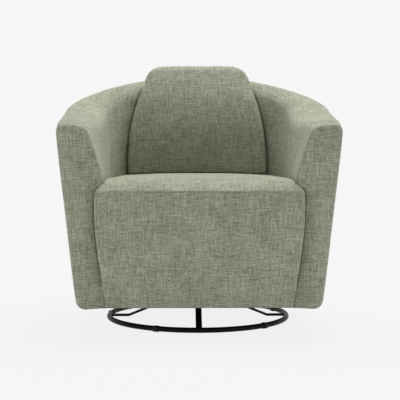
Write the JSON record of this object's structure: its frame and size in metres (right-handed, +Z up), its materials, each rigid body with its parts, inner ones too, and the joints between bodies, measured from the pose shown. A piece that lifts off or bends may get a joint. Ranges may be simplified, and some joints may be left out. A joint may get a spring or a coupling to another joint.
{
  "type": "swivel accent chair",
  "caption": "Upholstered tub armchair with a raised back pad, turning on a bent-bar steel ring base with glides.",
  "frame": {"origin": "on the floor, on the swivel axis, under the middle of the chair", "axes": "+Z up, the chair faces -Y, +X to the right as seen from the front; left and right in the node names are as seen from the front"},
  "size_m": [0.8356, 0.7998, 0.8217],
  "materials": {
    "upholstery": "heathered sage-green slub weave",
    "black_steel": "satin black powder coat",
    "black_plastic": "matt black moulded nylon",
    "zinc_steel": "zinc plated",
    "retainer_nylon": "natural nylon",
    "timber": "bare plywood and softwood",
    "webbing": "woven black elastic",
    "cambric": "thin black non-woven cloth"
  },
  "bodies": {
    "base": {"base_ring": "black_steel", "ring_glides": "black_plastic", "base_bar_front": "black_steel", "base_bar_back": "black_steel", "base_bar_left": "black_steel", "base_bar_right": "black_steel", "hub_plate": "black_steel", "bar_rivets": "zinc_steel", "lower_race": "zinc_steel", "pivot_bolt": "zinc_steel", "pivot_washer": "zinc_steel", "pivot_nut": "zinc_steel"},
    "ball_cage": {"bearing_balls": "zinc_steel", "ball_retainer": "retainer_nylon"},
    "chair": {"upper_race": "zinc_steel", "swivel_plate": "black_steel", "plate_bolts": "zinc_steel", "plate_nuts": "zinc_steel", "mount_rail_front": "timber", "mount_rail_back": "timber", "front_rail": "timber", "spring_rail": "timber", "base_hoop": "timber", "seat_hoop": "timber", "arm_panel_left": "timber", "arm_panel_right": "timber", "arm_board_left": "timber", "arm_board_right": "timber", "side_post_left": "timber", "side_post_right": "timber", "corner_post_left": "timber", "corner_post_right": "timber", "back_post_left": "timber", "back_post_right": "timber", "back_board": "timber", "corner_blocks": "timber", "seat_springs": "zinc_steel", "spring_clips": "zinc_steel", "back_webbing": "webbing", "seat_cushion": "upholstery", "seat_apron": "upholstery", "back_cushion": "upholstery", "arm_pad_left": "upholstery", "arm_pad_right": "upholstery", "back_pad": "upholstery", "arm_facing_left": "upholstery", "arm_facing_right": "upholstery", "dust_cover": "cambric"}
  },
  "joints": [
    {"name": "swivel", "type": "hinge", "parent": "base", "child": "chair", "pos_m": [0, 0, 0.079], "axis": [0, 0, 1], "continuous": true},
    {"name": "ball_roll", "type": "hinge", "parent": "base", "child": "ball_cage", "pos_m": [0, 0, 0.079], "axis": [0, 0, 1], "continuous": true}
  ],
  "couplings": [
    {"joint": "ball_roll", "follows": "swivel", "ratio": 0.5}
  ]
}
